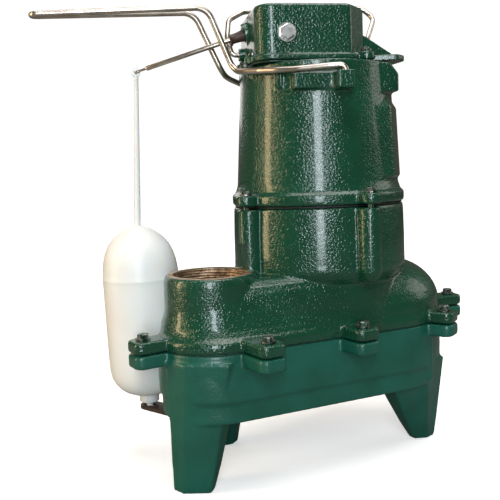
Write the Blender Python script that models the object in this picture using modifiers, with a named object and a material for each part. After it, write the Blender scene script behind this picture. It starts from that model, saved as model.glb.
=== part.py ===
"""Submersible sump pump: float-operated, with a cast iron body and a vertical discharge.

The pump frame has its origin on the motor axis at floor level. X runs along the
base, away from the discharge, and Z is up. The switch frame shares that origin,
but its first axis points along the float arm, and its second points to the
front of the switch case. World zero is the middle of the whole pump's box.
"""
import math

import bpy
import bmesh
from mathutils import Matrix, Vector

MM = 0.001
GAP = 0.3                       # clearance between touching pieces, in mm

# Driving dimensions, in mm
AXIS_X, AXIS_Y = 33.63, -7.93    # the motor axis in the world
ARM_ANGLE = 158.0               # direction of the float arm, degrees from X
DISCHARGE_X = -110.0
BORE_R = 29.2
BOSS_R = 37.7
BOSS_TOP = 168.0
VOLUTE_X = 45.0                 # centre of the volute's round end
VOLUTE_R = 72.0
NECK_R = 46.5                   # outline radius around the discharge
NECK_Y = -4.5                   # that end sits forward, clear of the float
SKIRT_Z = 58.0
PARTING_Z = 112.7               # between the base and the pump housing
FLANGE_Z = 121.0
EAR_R = 11.5
BOLT_R = 3.2
SHELL_R = 73.4                  # lower motor shell
SHELL_Z = 165.0
COLLAR_Z = 218.1                # between the pump housing and the motor housing
COLLAR_R = 74.4
HOUSING_R = 69.5
HOUSING_TOP_R = 64.0
CASE_Z = 333.2                  # between the motor housing and the switch case
CASE_TOP = 378.5
CASE_FRONT = 45.0
WALL = 6.0
EARS = ((-171, 0), (-102, -70), (-17, -77), (76, -75), (139, -22),
        (139, 22), (76, 75), (-17, 77), (-88, 71))
SCREW_RADIUS = 79.0             # motor screws sit on this circle
SCREW_ANGLES = (6, 84, 186, 264)
CASE_SCREWS = ((57, 20), (57, -20), (-33, 40), (-33, -40))
SHAFT_R = 8.0
ARM_PIVOT = (58.5, 0.0, 362.3)
ARM_TIP = (151.5, -10.5, 334.0)
FLOAT_TOP = (157.3, -14.0, 203.0)
FLOAT_BOTTOM = (154.8, -14.0, 48.0)
FLOAT_R = 32.8
BAIL_AXIS = (-9.0, 347.0)       # across the arm, and height
BRACKET_SCREW = (-124.7, 33.5, 58.0)
GUARD_D = 4.8
BAIL_D = 4.3

GREEN = ((0.010, 0.075, 0.045), 0.22, 0.0)
SATIN = ((0.015, 0.105, 0.070), 0.45, 0.0)
STEEL = ((0.55, 0.52, 0.48), 0.28, 1.0)
ZINC = ((0.62, 0.60, 0.57), 0.35, 1.0)
BLACK = ((0.02, 0.02, 0.02), 0.6, 0.0)
BROWN = ((0.06, 0.035, 0.025), 0.6, 0.0)
WHITE = ((0.80, 0.78, 0.74), 0.35, 0.0)
COPPER = ((0.70, 0.30, 0.12), 0.35, 1.0)
IRON = ((0.25, 0.25, 0.25), 0.5, 1.0)
CERAMIC = ((0.75, 0.72, 0.66), 0.3, 0.0)


# ---- scene ---------------------------------------------------------------

def clear_scene():
    for old in list(bpy.data.objects):
        bpy.data.objects.remove(old, do_unlink=True)


def new_collection(name):
    made = bpy.data.collections.new(name)
    bpy.context.scene.collection.children.link(made)
    return made


clear_scene()
PARTS = new_collection("sump_pump")
CUTTERS = new_collection("cutters")


def new_frame(name, x, y, angle):
    empty = bpy.data.objects.new(name, None)
    empty.location = (x * MM, y * MM, 0)
    empty.rotation_euler.z = math.radians(angle)
    PARTS.objects.link(empty)
    return empty


PUMP = new_frame("pump_frame", AXIS_X, AXIS_Y, 0)
ARM = new_frame("switch_frame", AXIS_X, AXIS_Y, ARM_ANGLE)


def material(name, look):
    colour, rough, metal = look
    made = bpy.data.materials.new(name)
    made.use_nodes = True
    shader = made.node_tree.nodes["Principled BSDF"]
    shader.inputs["Base Color"].default_value = (*colour, 1)
    shader.inputs["Roughness"].default_value = rough
    shader.inputs["Metallic"].default_value = metal
    return made


def put(obj, frame, collection):
    """Links an object and hangs it on a frame, in that frame's coordinates."""
    if obj.name not in collection.objects:
        for other in obj.users_collection:
            other.objects.unlink(obj)
        collection.objects.link(obj)
    obj.parent = frame
    return obj


def finish(obj, look, frame=None):
    """Makes an object a part: its material, its shading and its collection."""
    put(obj, frame or obj.parent or PUMP, PARTS)
    obj.data.materials.clear()
    obj.data.materials.append(material(obj.name, look))
    if obj.type == "MESH":
        obj.data.shade_smooth()
        obj.data.set_sharp_from_angle(angle=math.radians(35))
    return obj


def as_tool(obj):
    put(obj, obj.parent, CUTTERS)
    obj.hide_render = True
    obj.display_type = "WIRE"
    return obj


def boolean(target, tool, operation):
    mod = target.modifiers.new(operation.lower(), "BOOLEAN")
    mod.operation = operation
    mod.object = as_tool(tool)
    return target


def join(target, *tools):
    for tool in tools:
        boolean(target, tool, "UNION")
    return target


def cut(target, *tools):
    for tool in tools:
        boolean(target, tool, "DIFFERENCE")
    return target


# ---- shapes --------------------------------------------------------------

def mesh_object(name, build, frame):
    mesh = bpy.data.meshes.new(name)
    work = bmesh.new()
    build(work)
    bmesh.ops.recalc_face_normals(work, faces=work.faces)
    work.to_mesh(mesh)
    work.free()
    return put(bpy.data.objects.new(name, mesh), frame, PARTS)


def turned(name, profile, centre=(0, 0), steps=48, frame=None):
    """A turned shape. The profile is (radius, z) in mm, down its outer side."""
    closed = profile[0][0] > 0

    def build(work):
        points = [work.verts.new((r * MM, 0, z * MM)) for r, z in profile]
        pairs = list(zip(points, points[1:]))
        if closed:
            pairs.append((points[-1], points[0]))
        for a, b in pairs:
            work.edges.new((a, b))

    obj = mesh_object(name, build, frame or PUMP)
    obj.location = (centre[0] * MM, centre[1] * MM, 0)
    screw = obj.modifiers.new("turn", "SCREW")
    screw.steps = steps
    screw.render_steps = steps
    screw.use_merge_vertices = True
    screw.merge_threshold = 0.00001
    return obj


def rod(name, radius, z0, z1, centre=(0, 0), steps=24, frame=None):
    """An upright cylinder."""
    profile = [(0, z1), (radius, z1), (radius, z0), (0, z0)]
    return turned(name, profile, centre, steps, frame)


def tube(name, outer, inner, z0, z1, centre=(0, 0), steps=48, frame=None):
    profile = [(outer, z1), (outer, z0), (inner, z0), (inner, z1)]
    return turned(name, profile, centre, steps, frame)


def lying_rod(name, radius, start, end, frame, steps=16):
    """A cylinder between two points."""
    a, b = Vector(start) * MM, Vector(end) * MM

    def build(work):
        turn = (b - a).to_track_quat("Z", "Y").to_matrix().to_4x4()
        bmesh.ops.create_cone(
            work, cap_ends=True, segments=steps, radius1=radius * MM, radius2=radius * MM,
            depth=(b - a).length, matrix=Matrix.Translation((a + b) / 2) @ turn)

    return mesh_object(name, build, frame)


def box(name, low, high, frame):
    size = [(h - l) * MM for l, h in zip(low, high)]
    middle = [(h + l) / 2 * MM for l, h in zip(low, high)]

    def build(work):
        place = Matrix.Translation(middle) @ Matrix.Diagonal((*size, 1))
        bmesh.ops.create_cube(work, size=1, matrix=place)

    return mesh_object(name, build, frame)


def loft(name, sections, frame=None):
    """A closed solid through sections of (z, outline), each with as many points."""
    def build(work):
        rings = [[work.verts.new((x * MM, y * MM, z * MM)) for x, y in outline]
                 for z, outline in sections]
        count = len(rings[0])
        for lower, upper in zip(rings, rings[1:]):
            for i in range(count):
                j = (i + 1) % count
                work.faces.new((lower[i], lower[j], upper[j], upper[i]))
        work.faces.new(rings[0][::-1])
        work.faces.new(rings[-1])

    return mesh_object(name, build, frame or PUMP)


def to_mesh(curve):
    """The curve's solid as a mesh, which a Boolean can use."""
    bpy.context.view_layer.update()
    view = bpy.context.evaluated_depsgraph_get()
    mesh = bpy.data.meshes.new_from_object(curve.evaluated_get(view))
    work = bmesh.new()
    work.from_mesh(mesh)
    bmesh.ops.remove_doubles(work, verts=work.verts, dist=0.00001)
    work.to_mesh(mesh)
    work.free()
    name, frame, place = curve.name, curve.parent, curve.matrix_basis.copy()
    bpy.data.objects.remove(curve, do_unlink=True)
    made = put(bpy.data.objects.new(name, mesh), frame, PARTS)
    made.matrix_basis = place
    return made


def plate(name, outline, z0, z1, frame=None):
    """A flat outline with thickness."""
    curve = bpy.data.curves.new(name, "CURVE")
    curve.dimensions = "2D"
    curve.fill_mode = "BOTH"
    curve.extrude = (z1 - z0) / 2 * MM
    line = curve.splines.new("POLY")
    line.points.add(len(outline) - 1)
    for point, (x, y) in zip(line.points, outline):
        point.co = (x * MM, y * MM, 0, 1)
    line.use_cyclic_u = True
    obj = put(bpy.data.objects.new(name, curve), frame or PUMP, PARTS)
    obj.location.z = (z0 + z1) / 2 * MM
    return to_mesh(obj)


def wire(name, path, diameter, frame):
    """A round wire along a path, with flat ends."""
    curve = bpy.data.curves.new(name, "CURVE")
    curve.dimensions = "3D"
    curve.bevel_depth = diameter / 2 * MM
    curve.bevel_resolution = 2
    curve.use_fill_caps = True
    line = curve.splines.new("POLY")
    line.points.add(len(path) - 1)
    for point, place in zip(line.points, path):
        point.co = (*(Vector(place) * MM), 1)
    return to_mesh(put(bpy.data.objects.new(name, curve), frame, PARTS))


# ---- outlines and paths --------------------------------------------------

def arc(centre, radius, start, end, count):
    """Points on an arc, from one angle to another in degrees."""
    turns = [math.radians(start + (end - start) * i / (count - 1)) for i in range(count)]
    return [(centre[0] + radius * math.cos(t), centre[1] + radius * math.sin(t))
            for t in turns]


def body_outline(neck_r, volute_r, count=13):
    """A round end at the discharge and a larger one at the volute, with tangents."""
    way = Vector((VOLUTE_X - DISCHARGE_X, -NECK_Y))
    turn = math.degrees(math.atan2(way.y, way.x))
    lean = math.degrees(math.asin((volute_r - neck_r) / way.length)) + 90
    right = arc((VOLUTE_X, 0), volute_r, turn - lean, turn + lean, count + 6)
    left = arc((DISCHARGE_X, NECK_Y), neck_r, turn + lean, turn + 360 - lean, count)
    return right + left


def capsule(start, end, radius, count=7):
    """A flat link with round ends."""
    way = math.degrees(math.atan2(end[1] - start[1], end[0] - start[0]))
    first = arc(end, radius, way - 90, way + 90, count)
    return first + arc(start, radius, way + 90, way + 270, count)


def rounded(corners, radii, count=4):
    """A polygon with its corners rounded, to one radius or to a list of them."""
    if not isinstance(radii, list):
        radii = [radii] * len(corners)
    points = []
    for i, corner in enumerate(corners):
        before = Vector(corners[i - 1])
        here = Vector(corner)
        after = Vector(corners[(i + 1) % len(corners)])
        to_before = (before - here).normalized()
        to_after = (after - here).normalized()
        half = to_before.angle(to_after) / 2
        reach = radii[i] / math.tan(half)
        middle = here + (to_before + to_after).normalized() * radii[i] / math.sin(half)
        start = here + to_before * reach - middle
        end = here + to_after * reach - middle
        for j in range(count):
            step = start.lerp(end, j / (count - 1)).normalized() * radii[i]
            points.append(tuple(middle + step))
    return points


def bent(corners, radii, count=5):
    """A path through corners, each rounded to its own bend radius."""
    path = [Vector(corners[0])]
    for i in range(1, len(corners) - 1):
        before, here, after = (Vector(corners[j]) for j in (i - 1, i, i + 1))
        to_before = (before - here).normalized()
        to_after = (after - here).normalized()
        half = to_before.angle(to_after) / 2
        reach = radii[i - 1] / math.tan(half)
        middle = here + (to_before + to_after).normalized() * radii[i - 1] / math.sin(half)
        start = here + to_before * reach - middle
        end = here + to_after * reach - middle
        for j in range(count):
            step = start.lerp(end, j / (count - 1)).normalized() * radii[i - 1]
            path.append(middle + step)
    path.append(Vector(corners[-1]))
    return path


def toward(point, centre, distance):
    """The place a given distance from a point towards a centre."""
    way = Vector(centre) - Vector(point)
    return tuple(Vector(point) + way.normalized() * distance)


def on_circle(angle):
    """A motor screw's place, at an angle in degrees."""
    turn = math.radians(angle)
    return (SCREW_RADIUS * math.cos(turn), SCREW_RADIUS * math.sin(turn))


def ear_root(ear):
    """Where an ear's web meets the body: straight in from the outline."""
    x, y = ear
    if x < DISCHARGE_X:
        return (DISCHARGE_X, 0)
    if x > VOLUTE_X:
        return (VOLUTE_X, 0)
    return (x, 0)


# ---- base ----------------------------------------------------------------

def leg(name, top, foot, top_z, bottom_z=0):
    """A cast leg that tapers from its top outline to its foot."""
    middle = [((a[0] + b[0] * 3) / 4, (a[1] + b[1] * 3) / 4) for a, b in zip(top, foot)]
    return loft(name, [(bottom_z, foot), (top_z * 0.22, middle), (top_z, top)])


def base_casting():
    """The lower half of the volute, with its skirt, suction inlet and legs."""
    top = PARTING_Z - 0.7
    shell = loft("base_casting", [
        (SKIRT_Z, body_outline(NECK_R - 1.5, VOLUTE_R - 1.5)),
        (73, body_outline(NECK_R - 1.5, VOLUTE_R - 1.5)),
        (76.5, body_outline(NECK_R + 0.5, VOLUTE_R + 0.5)),
        (88, body_outline(NECK_R + 1, VOLUTE_R + 1)),
        (top, body_outline(NECK_R, VOLUTE_R))])
    cut(shell, loft("base_under", [
        (SKIRT_Z - 5, body_outline(NECK_R - 10, VOLUTE_R - 10)),
        (73, body_outline(NECK_R - 11, VOLUTE_R - 11))]))
    for i, ear in enumerate(EARS):
        inner = toward(ear, ear_root(ear), 26)
        join(shell, plate(f"base_ear_{i}", capsule(ear, inner, EAR_R), 102, top - 0.5))
    front_leg = leg(
        "leg_front",
        [(-158, -11), (-152, -32), (-126, -52), (-108, -44), (-112, -20), (-140, 4)],
        [(-155, -7), (-152, -18), (-134, -30), (-127, -24), (-132, -8), (-146, 2)], 106)
    right_leg = leg(
        "leg_right",
        [(20, -40), (18, -66), (60, -71), (92, -60), (100, -42), (60, -34)],
        [(70, -38), (69, -46), (80, -51.5), (91, -49), (93, -40), (80, -34)], 76)
    back_leg = leg(
        "leg_back",
        [(-104, 36), (-60, 34), (-46, 50), (-48, 62), (-80, 56), (-106, 52)],
        [(-84, 46), (-70, 44), (-62, 49), (-62, 57), (-72, 60), (-84, 55)], 76)
    join(shell, front_leg, right_leg, back_leg)
    bowl = loft("base_bowl", [
        (81, body_outline(NECK_R - 13, VOLUTE_R - 14)),
        (88, body_outline(NECK_R - 8, VOLUTE_R - 8)),
        (top + 5, body_outline(NECK_R - 8, VOLUTE_R - 8))])
    cut(shell, bowl, rod("base_inlet", 31, 60, 90, steps=40))
    for i, ear in enumerate(EARS):
        cut(shell, rod(f"base_hole_{i}", BOLT_R + GAP, 95, 120, ear, 12))
    cut(shell, rod("bracket_hole", 2.0 + GAP, 50, 68, BRACKET_SCREW[:2], 12))
    return finish(shell, SATIN)


def base_gasket():
    outline = body_outline(NECK_R - 0.5, VOLUTE_R - 0.5)
    gasket = plate("base_gasket", outline, PARTING_Z - 0.4, PARTING_Z + 0.4)
    cut(gasket, plate("gasket_hole", body_outline(NECK_R - 8, VOLUTE_R - 8),
                      PARTING_Z - 3, PARTING_Z + 3))
    return finish(gasket, BLACK)


# ---- pump housing --------------------------------------------------------

def pump_housing():
    """Volute cover, discharge and lower motor shell in one casting."""
    low = PARTING_Z + 0.7
    top = COLLAR_Z - 0.7
    body = loft("pump_housing", [
        (low, body_outline(NECK_R, VOLUTE_R)),
        (FLANGE_Z - 1.5, body_outline(NECK_R + 0.5, VOLUTE_R + 0.5)),
        (FLANGE_Z, body_outline(NECK_R - 1, VOLUTE_R - 1)),
        (FLANGE_Z + 2, body_outline(NECK_R - 6, VOLUTE_R - 2)),
        (134.5, body_outline(NECK_R - 9, VOLUTE_R - 3.5)),
        (146, body_outline(NECK_R - 13, VOLUTE_R - 10)),
        (155, body_outline(NECK_R - 19, VOLUTE_R - 19)),
        (161, body_outline(NECK_R - 27, VOLUTE_R - 29)),
        (164, body_outline(NECK_R - 35, VOLUTE_R - 40))])
    shell = turned("motor_shell", [
        (0, top), (SHELL_R - 0.6, top), (SHELL_R, 214), (SHELL_R + 1.2, SHELL_Z + 3),
        (SHELL_R - 0.5, SHELL_Z - 2), (SHELL_R - 7, 150), (SHELL_R - 9, 117), (0, 117)],
        steps=56)
    boss = turned("discharge_boss", [
        (0, BOSS_TOP), (BOSS_R - 2, BOSS_TOP), (BOSS_R, BOSS_TOP - 2.5),
        (BOSS_R + 1.2, 136), (BOSS_R + 3.0, 131), (BOSS_R + 4.4, 126), (BOSS_R + 4.8, 119),
        (0, 119)], (DISCHARGE_X, 0), 40)
    join(body, shell, boss)
    for i, ear in enumerate(EARS):
        inner = toward(ear, ear_root(ear), 26)
        outline = capsule(ear, inner, EAR_R)
        join(body, plate(f"housing_ear_{i}", outline, low + 0.5, 122.6))
    for angle in SCREW_ANGLES:
        where = on_circle(angle)
        pillar = turned(f"screw_pillar_{angle}", [
            (0, top - 0.6), (8.4, top - 0.6), (8.4, 166), (6.4, 157), (0, 157)], where, 18)
        join(body, pillar)
    chamber = turned("motor_chamber", [
        (0, top + 5), (SHELL_R - WALL, top + 5), (SHELL_R - WALL, 178), (30, 176), (0, 176)],
        steps=44)
    volute = loft("volute_cavity", [
        (low - 5, body_outline(NECK_R - 8, VOLUTE_R - 8)),
        (128, body_outline(NECK_R - 15, VOLUTE_R - 13)),
        (138, body_outline(NECK_R - 20, VOLUTE_R - 18))])
    well = turned("impeller_well", [
        (0, 152), (56, 152), (59, 148), (59, 120), (0, 120)], steps=40)
    bore = rod("discharge_bore", BORE_R, 100, BOSS_TOP + 5, (DISCHARGE_X, 0), 40)
    seat = turned("seal_pocket", [
        (0, 190), (SHAFT_R + 1, 190), (SHAFT_R + 1, 169), (17, 169), (17, 145), (0, 145)],
        steps=32)
    cut(body, chamber, volute, well, bore, seat)
    join(body, tube("bearing_seat", 24, 17.6, 170, 191, steps=32))
    for i, ear in enumerate(EARS):
        cut(body, rod(f"ear_hole_{i}", BOLT_R + GAP, 100, 130, ear, 12))
    for angle in SCREW_ANGLES:
        where = on_circle(angle)
        cut(body, rod(f"screw_hole_{angle}", 2.5 + GAP, 192, 230, where, 14))
    return finish(body, GREEN)


# ---- motor housing -------------------------------------------------------

def motor_gasket():
    ring = tube("motor_gasket", SHELL_R - 1, SHELL_R - 5.5, COLLAR_Z - 0.4, COLLAR_Z + 0.4,
                steps=56)
    return finish(ring, BLACK)


def motor_housing():
    """Upper motor shell with its collar, front pad, cable channel and rod lugs."""
    low = COLLAR_Z + 0.7
    top = CASE_Z - 0.8
    body = turned("motor_housing", [
        (0, top), (HOUSING_TOP_R, top), (HOUSING_TOP_R + 0.1, 320),
        (HOUSING_R, 236), (HOUSING_R + 1.2, 233), (COLLAR_R - 1.5, 228.6),
        (COLLAR_R, 227), (COLLAR_R, low), (0, low)], steps=56, frame=ARM)
    for angle in SCREW_ANGLES:
        where = on_circle(angle - ARM_ANGLE)
        inner = toward(where, (0, 0), 14)
        join(body, plate(f"collar_ear_{angle}", capsule(where, inner, 9), low + 0.6, 228, ARM))
    pads = []
    for side in (1, -1):
        pads.append(box(f"pad_{side}", (-12, side * 46 - 20, 309), (34, side * 46 + 20, 321.3),
                        ARM))
        pads.append(box(f"shelf_{side}", (-14, side * 38 - 21, 312), (28, side * 38 + 21, top - 1),
                        ARM))
        pads.append(box(f"lug_{side}", (-10, side * 73 - 7, 307.5), (3, side * 73 + 7, 321.5),
                        ARM))
    for i, (x, y) in enumerate(CASE_SCREWS):
        web = capsule((x, y), toward((x, y), (0, 0), 12), 5.2)
        pads.append(plate(f"top_ear_{i}", web, 323, top - 0.5, ARM))
    channel = loft("cable_channel", [
        (240, rounded([(-20, 20), (-62, 8), (-66, 28), (-51, 53), (-24, 62)], 6)),
        (296, rounded([(-20, 20), (-60, 8), (-63, 27), (-49, 51), (-24, 59)], 6)),
        (306, rounded([(-20, 20), (-52, 10), (-54, 24), (-43, 43), (-24, 50)], 6))], ARM)
    block = loft("cable_block", [
        (308, rounded([(-20, 6), (-61, 6), (-57, 50), (-20, 50)], 2.5)),
        (322, rounded([(-20, 6), (-61, 6), (-57, 50), (-20, 50)], 2.5)),
        (331, rounded([(-20, 6), (-54, 6), (-50, 50), (-20, 50)], 2.5))], ARM)
    join(body, *pads, channel, block)
    inner_r = HOUSING_TOP_R - WALL + 1.5
    hollow = turned("motor_hollow", [
        (0, 324), (inner_r - 3, 324), (inner_r, 320), (inner_r, 240), (inner_r + 3, 236),
        (inner_r + 3, low - 5), (0, low - 5)], steps=44, frame=ARM)
    cut(body, hollow)
    join(body, tube("top_bearing_seat", 21, 15.6, 299, 326, steps=32, frame=ARM))
    cut(body, rod("wire_hole", 8, 315, 345, (35, -20), 20, ARM))
    for side in (1, -1):
        cut(body, rod(f"rod_hole_{side}", GUARD_D / 2 + GAP, 313, 330, (-4, side * 75.2), 16, ARM))
    for angle in SCREW_ANGLES:
        where = on_circle(angle - ARM_ANGLE)
        cut(body, rod(f"collar_hole_{angle}", 2.5 + GAP, 210, 240, where, 14, ARM))
    gland_seat = lying_rod("gland_seat", 12, (-30, -55, 312), (-30, -68, 312), ARM, 24)
    join(body, gland_seat)
    cut(body, lying_rod("gland_hole", 6.3, (-30, -40, 312), (-30, -75, 312), ARM, 24))
    for i, place in enumerate(CASE_SCREWS):
        cut(body, rod(f"case_screw_hole_{i}", 2 + GAP, 325, 340, place, 12, ARM))
    return finish(body, GREEN, ARM)


# ---- switch case ---------------------------------------------------------

def case_outline(grow=0.0):
    """Flat front and back, a chamfered left end and smaller right chamfers."""
    g = grow
    corners = [(-19 - g, CASE_FRONT + g), (-36 - g, 26), (-36 - g, -26), (-19 - g, -CASE_FRONT - g),
               (58 + g, -CASE_FRONT - g), (58 + g, CASE_FRONT + g)]
    return rounded(corners, [4, 4, 4, 4, 15 + g, 15 + g], 5)


def switch_case():
    """Cast box that holds the float switch, with a flange, tab and bail lugs."""
    low = CASE_Z + 0.8
    body = loft("switch_case", [
        (low, case_outline()), (CASE_TOP - 2.5, case_outline(-0.4)),
        (CASE_TOP, case_outline(-2.5))], ARM)
    flange = plate("case_flange", case_outline(3.0), low + 0.2, low + 5.0, ARM)
    tab = plate("case_tab", rounded([(-28, 26), (-62, 36), (-71, 28), (-68, 8), (-28, -8)], 4),
                low + 0.8, low + 6.3, ARM)
    rib_side = [(-28, 357), (-38, 357), (-67, low + 5), (-28, low + 3)]

    def rib_shape(work):
        front = [work.verts.new((x * MM, 22.6 * MM, z * MM)) for x, z in rib_side]
        face = work.faces.new(front)
        made = bmesh.ops.extrude_face_region(work, geom=[face])
        moved = [v for v in made["geom"] if isinstance(v, bmesh.types.BMVert)]
        bmesh.ops.translate(work, verts=moved, vec=(0, -5.2 * MM, 0))

    rib = mesh_object("case_rib", rib_shape, ARM)
    b, z = BAIL_AXIS
    bail_lugs = [lying_rod("bail_lug_left", 5.5, (50, b, z), (64.5, b, z), ARM, 20),
                 lying_rod("bail_lug_right", 5.5, (-30, b, z), (-40, b, z), ARM, 20)]
    join(body, flange, tab, rib, *bail_lugs)
    hollow = loft("case_hollow", [
        (low - 5, case_outline(-5)), (CASE_TOP - 5, case_outline(-5))], ARM)
    cut(body, hollow)
    for i, (x, y) in enumerate(CASE_SCREWS):
        web = capsule((x, y), toward((x, y), (12, 0), 5), 7.0)
        join(body, plate(f"case_ear_{i}", web, low + 0.4, low + 7.2, ARM))
    for i, place in enumerate(CASE_SCREWS):
        cut(body, rod(f"case_hole_{i}", 2 + GAP, low - 3, low + 12, place, 12, ARM))
        cut(body, rod(f"case_spot_{i}", 4.6 + GAP, low + 7.2, low + 16, place, 20, ARM))
    a = Vector(ARM_PIVOT)
    way = (Vector((ARM_TIP[0], ARM_TIP[1], ARM_TIP[2])) - a).normalized()
    cut(body, lying_rod("seal_hole", 6.8, a - way * 12, a + way * 14, ARM, 24))
    for end in ((57, 66), (-34, -42)):
        cut(body, lying_rod(f"bail_hole_{end[0]}", BAIL_D / 2 + GAP, (end[0], b, z),
                            (end[1], b, z), ARM, 14))
    cut(body, lying_rod("front_hole", 3 + GAP, (34, 30, 355.3), (34, 55, 355.3), ARM, 14))
    return finish(body, GREEN, ARM)


def case_gasket():
    gasket = plate("case_gasket", case_outline(2.0), CASE_Z - 0.5, CASE_Z + 0.5, ARM)
    cut(gasket, plate("case_gasket_hole", case_outline(-6), CASE_Z - 3, CASE_Z + 3, ARM))
    for i, place in enumerate(CASE_SCREWS):
        cut(gasket, rod(f"case_gasket_hole_{i}", 2 + GAP, CASE_Z - 3, CASE_Z + 3, place, 12, ARM))
    return finish(gasket, BLACK, ARM)


# ---- fasteners -----------------------------------------------------------

def hex_profile(radius, centre=(0, 0), turn=0):
    return arc(centre, radius, turn, turn + 300, 6)


def bolt(name, place, head_z, tip_z, shank_r, hex_r, head_h, frame=None, turn=0):
    """A hex bolt with a washer face under its head."""
    head = loft(name, [(head_z + 1.0, hex_profile(hex_r, (0, 0), turn)),
                       (head_z + head_h - 0.6, hex_profile(hex_r, (0, 0), turn)),
                       (head_z + head_h, hex_profile(hex_r - 0.8, (0, 0), turn))], frame)
    head.location = (place[0] * MM, place[1] * MM, 0)
    washer = rod(f"{name}_washer", hex_r + 1.2, head_z, head_z + 1.2, place, 16, frame)
    shank = turned(f"{name}_shank", [
        (0, head_z + 1.1), (shank_r, head_z + 1.1), (shank_r, tip_z + 1), (shank_r - 1, tip_z),
        (0, tip_z)], place, 12, frame)
    join(head, washer, shank)
    return finish(head, ZINC, frame)


def base_bolts():
    for i, ear in enumerate(EARS):
        bolt(f"base_bolt_{i + 1}", ear, 122.6 + GAP, 99.5, BOLT_R, 4.6, 4.6, None, 12 * i)


def motor_screws():
    for i, angle in enumerate(SCREW_ANGLES):
        where = on_circle(angle)
        bolt(f"motor_screw_{i + 1}", where, 228 + GAP, 194, 2.5, 4.0, 4.0, None, 20 * i)


def case_screws():
    for i, place in enumerate(CASE_SCREWS):
        bolt(f"case_screw_{i + 1}", place, CASE_Z + 8.0 + GAP, 327, 2.0, 3.2, 3.0, ARM, 15 * i)


def case_bolt():
    """The hex plug bolt in the middle of the case's front."""
    made = bolt("case_bolt", (0, 0), 0, -9, 3.0, 6.3, 4.2, ARM, 30)
    made.rotation_euler = (math.radians(-90), 0, 0)
    made.location = (34 * MM, (CASE_FRONT + GAP) * MM, 355.3 * MM)
    for mod in made.modifiers:
        mod.object.parent = made
        mod.object.location = (0, 0, 0)
    return made


# ---- wire parts ----------------------------------------------------------

def guard_rod():
    """Guard over the float: a hairpin whose two ends wrap round the motor housing."""
    path = [(-4, 75.2, 315), (-4, 75.2, 325.5), (8, 71.5, 325.3), (30.4, 63, 324.3),
            (44, 54.5, 325), (56, 42.3, 326.4), (65, 27, 328.3), (71.1, 10, 330.2),
            (91.9, 10, 382.1), (231.5, 5.3, 377.4), (231.5, -5.3, 378.2),
            (100.8, -10, 382.2), (77.6, -10, 330.6), (69, -28, 329.2), (57, -44, 327),
            (42, -56.5, 325.4), (26, -65, 325.2), (8, -71.5, 325.3), (-4, -75.2, 325.5),
            (-4, -75.2, 315)]
    radii = [4.5, 8, 20, 20, 20, 20, 12, 14, 5, 5, 14, 12, 20, 20, 20, 20, 8, 4.5]
    return finish(wire("guard_rod", bent(path, radii, 4), GUARD_D, ARM), STEEL, ARM)


def lift_bail():
    """Lifting bail, hinged on the case's two ends and leaning back at rest."""
    b, z = BAIL_AXIS
    path = [(58.5, b, z), (69.5, b, z), (72.8, -13, 362), (69.5, -22, 379),
            (55, -29, 387.5), (-54, -29, 390.5), (-63.5, -24, 381), (-53, -11, 362),
            (-47, b, z), (-35, b, z)]
    radii = [4, 14, 10, 12, 9, 9, 14, 4]
    return finish(wire("lift_bail", bent(path, radii, 5), BAIL_D, ARM), STEEL, ARM)


def switch_point(place):
    """A switch frame place, in the pump frame."""
    turn = math.radians(ARM_ANGLE)
    x = place[0] * math.cos(turn) - place[1] * math.sin(turn)
    y = place[0] * math.sin(turn) + place[1] * math.cos(turn)
    return Vector((x, y, place[2]))


def float_bracket():
    """Bent strap under the float. Its slot guides the tip of the float rod."""
    start = switch_point(FLOAT_BOTTOM)
    end = Vector(BRACKET_SCREW)
    reach = (end.xy - start.xy).length
    frame = bpy.data.objects.new("bracket_frame", None)
    frame.location = (start.x * MM, start.y * MM, 0)
    frame.rotation_euler.z = math.atan2(end.y - start.y, end.x - start.x)
    put(frame, PUMP, PARTS)
    strap = plate("float_bracket", capsule((0, 0), (reach - 12, 0), 8.5), 42.8, 45.6, frame)
    riser = box("bracket_riser", (reach - 11.5, -8.5, 42.9), (reach - 8.5, 8.5, SKIRT_Z - GAP),
                frame)
    foot = plate("bracket_foot", capsule((reach, 0), (reach - 11, 0), 8.4), SKIRT_Z - 2.9,
                 SKIRT_Z - GAP - 0.02, frame)
    join(strap, riser, foot)
    cut(strap, plate("bracket_slot", capsule((-2, 0), (2, 0), 4.4), 38, 50, frame))
    cut(strap, rod("bracket_screw_hole", 2.0 + GAP, 50, 65, (reach, 0), 14, frame))
    return finish(strap, BROWN, frame)


def bracket_screw():
    place = Vector(BRACKET_SCREW)
    head = turned("bracket_screw", [
        (0, 66), (2.0, 66), (2.0, SKIRT_Z - 3.2), (4.4, SKIRT_Z - 3.2), (4.0, SKIRT_Z - 5.8),
        (0, SKIRT_Z - 5.8)], place.xy, 16)
    return finish(head, ZINC)


# ---- float and arm -------------------------------------------------------

def joint_frame(name, place):
    empty = bpy.data.objects.new(name, None)
    empty.location = Vector(place) * MM
    return put(empty, ARM, PARTS)


def on_joint(obj, joint):
    """Moves a switch frame object under a joint, leaving it where it is."""
    obj.parent = joint
    obj.location = obj.location - joint.location
    return obj


def arm_way():
    return (Vector(ARM_TIP) - Vector(ARM_PIVOT)).normalized()


def float_arm(joint):
    """Steel rod from the switch lever to the float, with a bent pin at its end."""
    pivot, tip, way = Vector(ARM_PIVOT), Vector(ARM_TIP), arm_way()
    thick_end = tip - way * 9
    arm = lying_rod("float_arm", 2.0, pivot - way * 5, thick_end, ARM, 16)
    lever = wire("arm_lever", [pivot - way * 3, pivot - way * 5.5, Vector((42, 0.4, 361.4))], 3.6,
                 ARM)
    pin = wire("arm_pin", bent([thick_end - way * 3, tip, tip + Vector((0, -7.5, 0))], [1.6], 5),
               2.0, ARM)
    join(arm, lever, pin)
    return on_joint(finish(arm, STEEL, ARM), joint)


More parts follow.
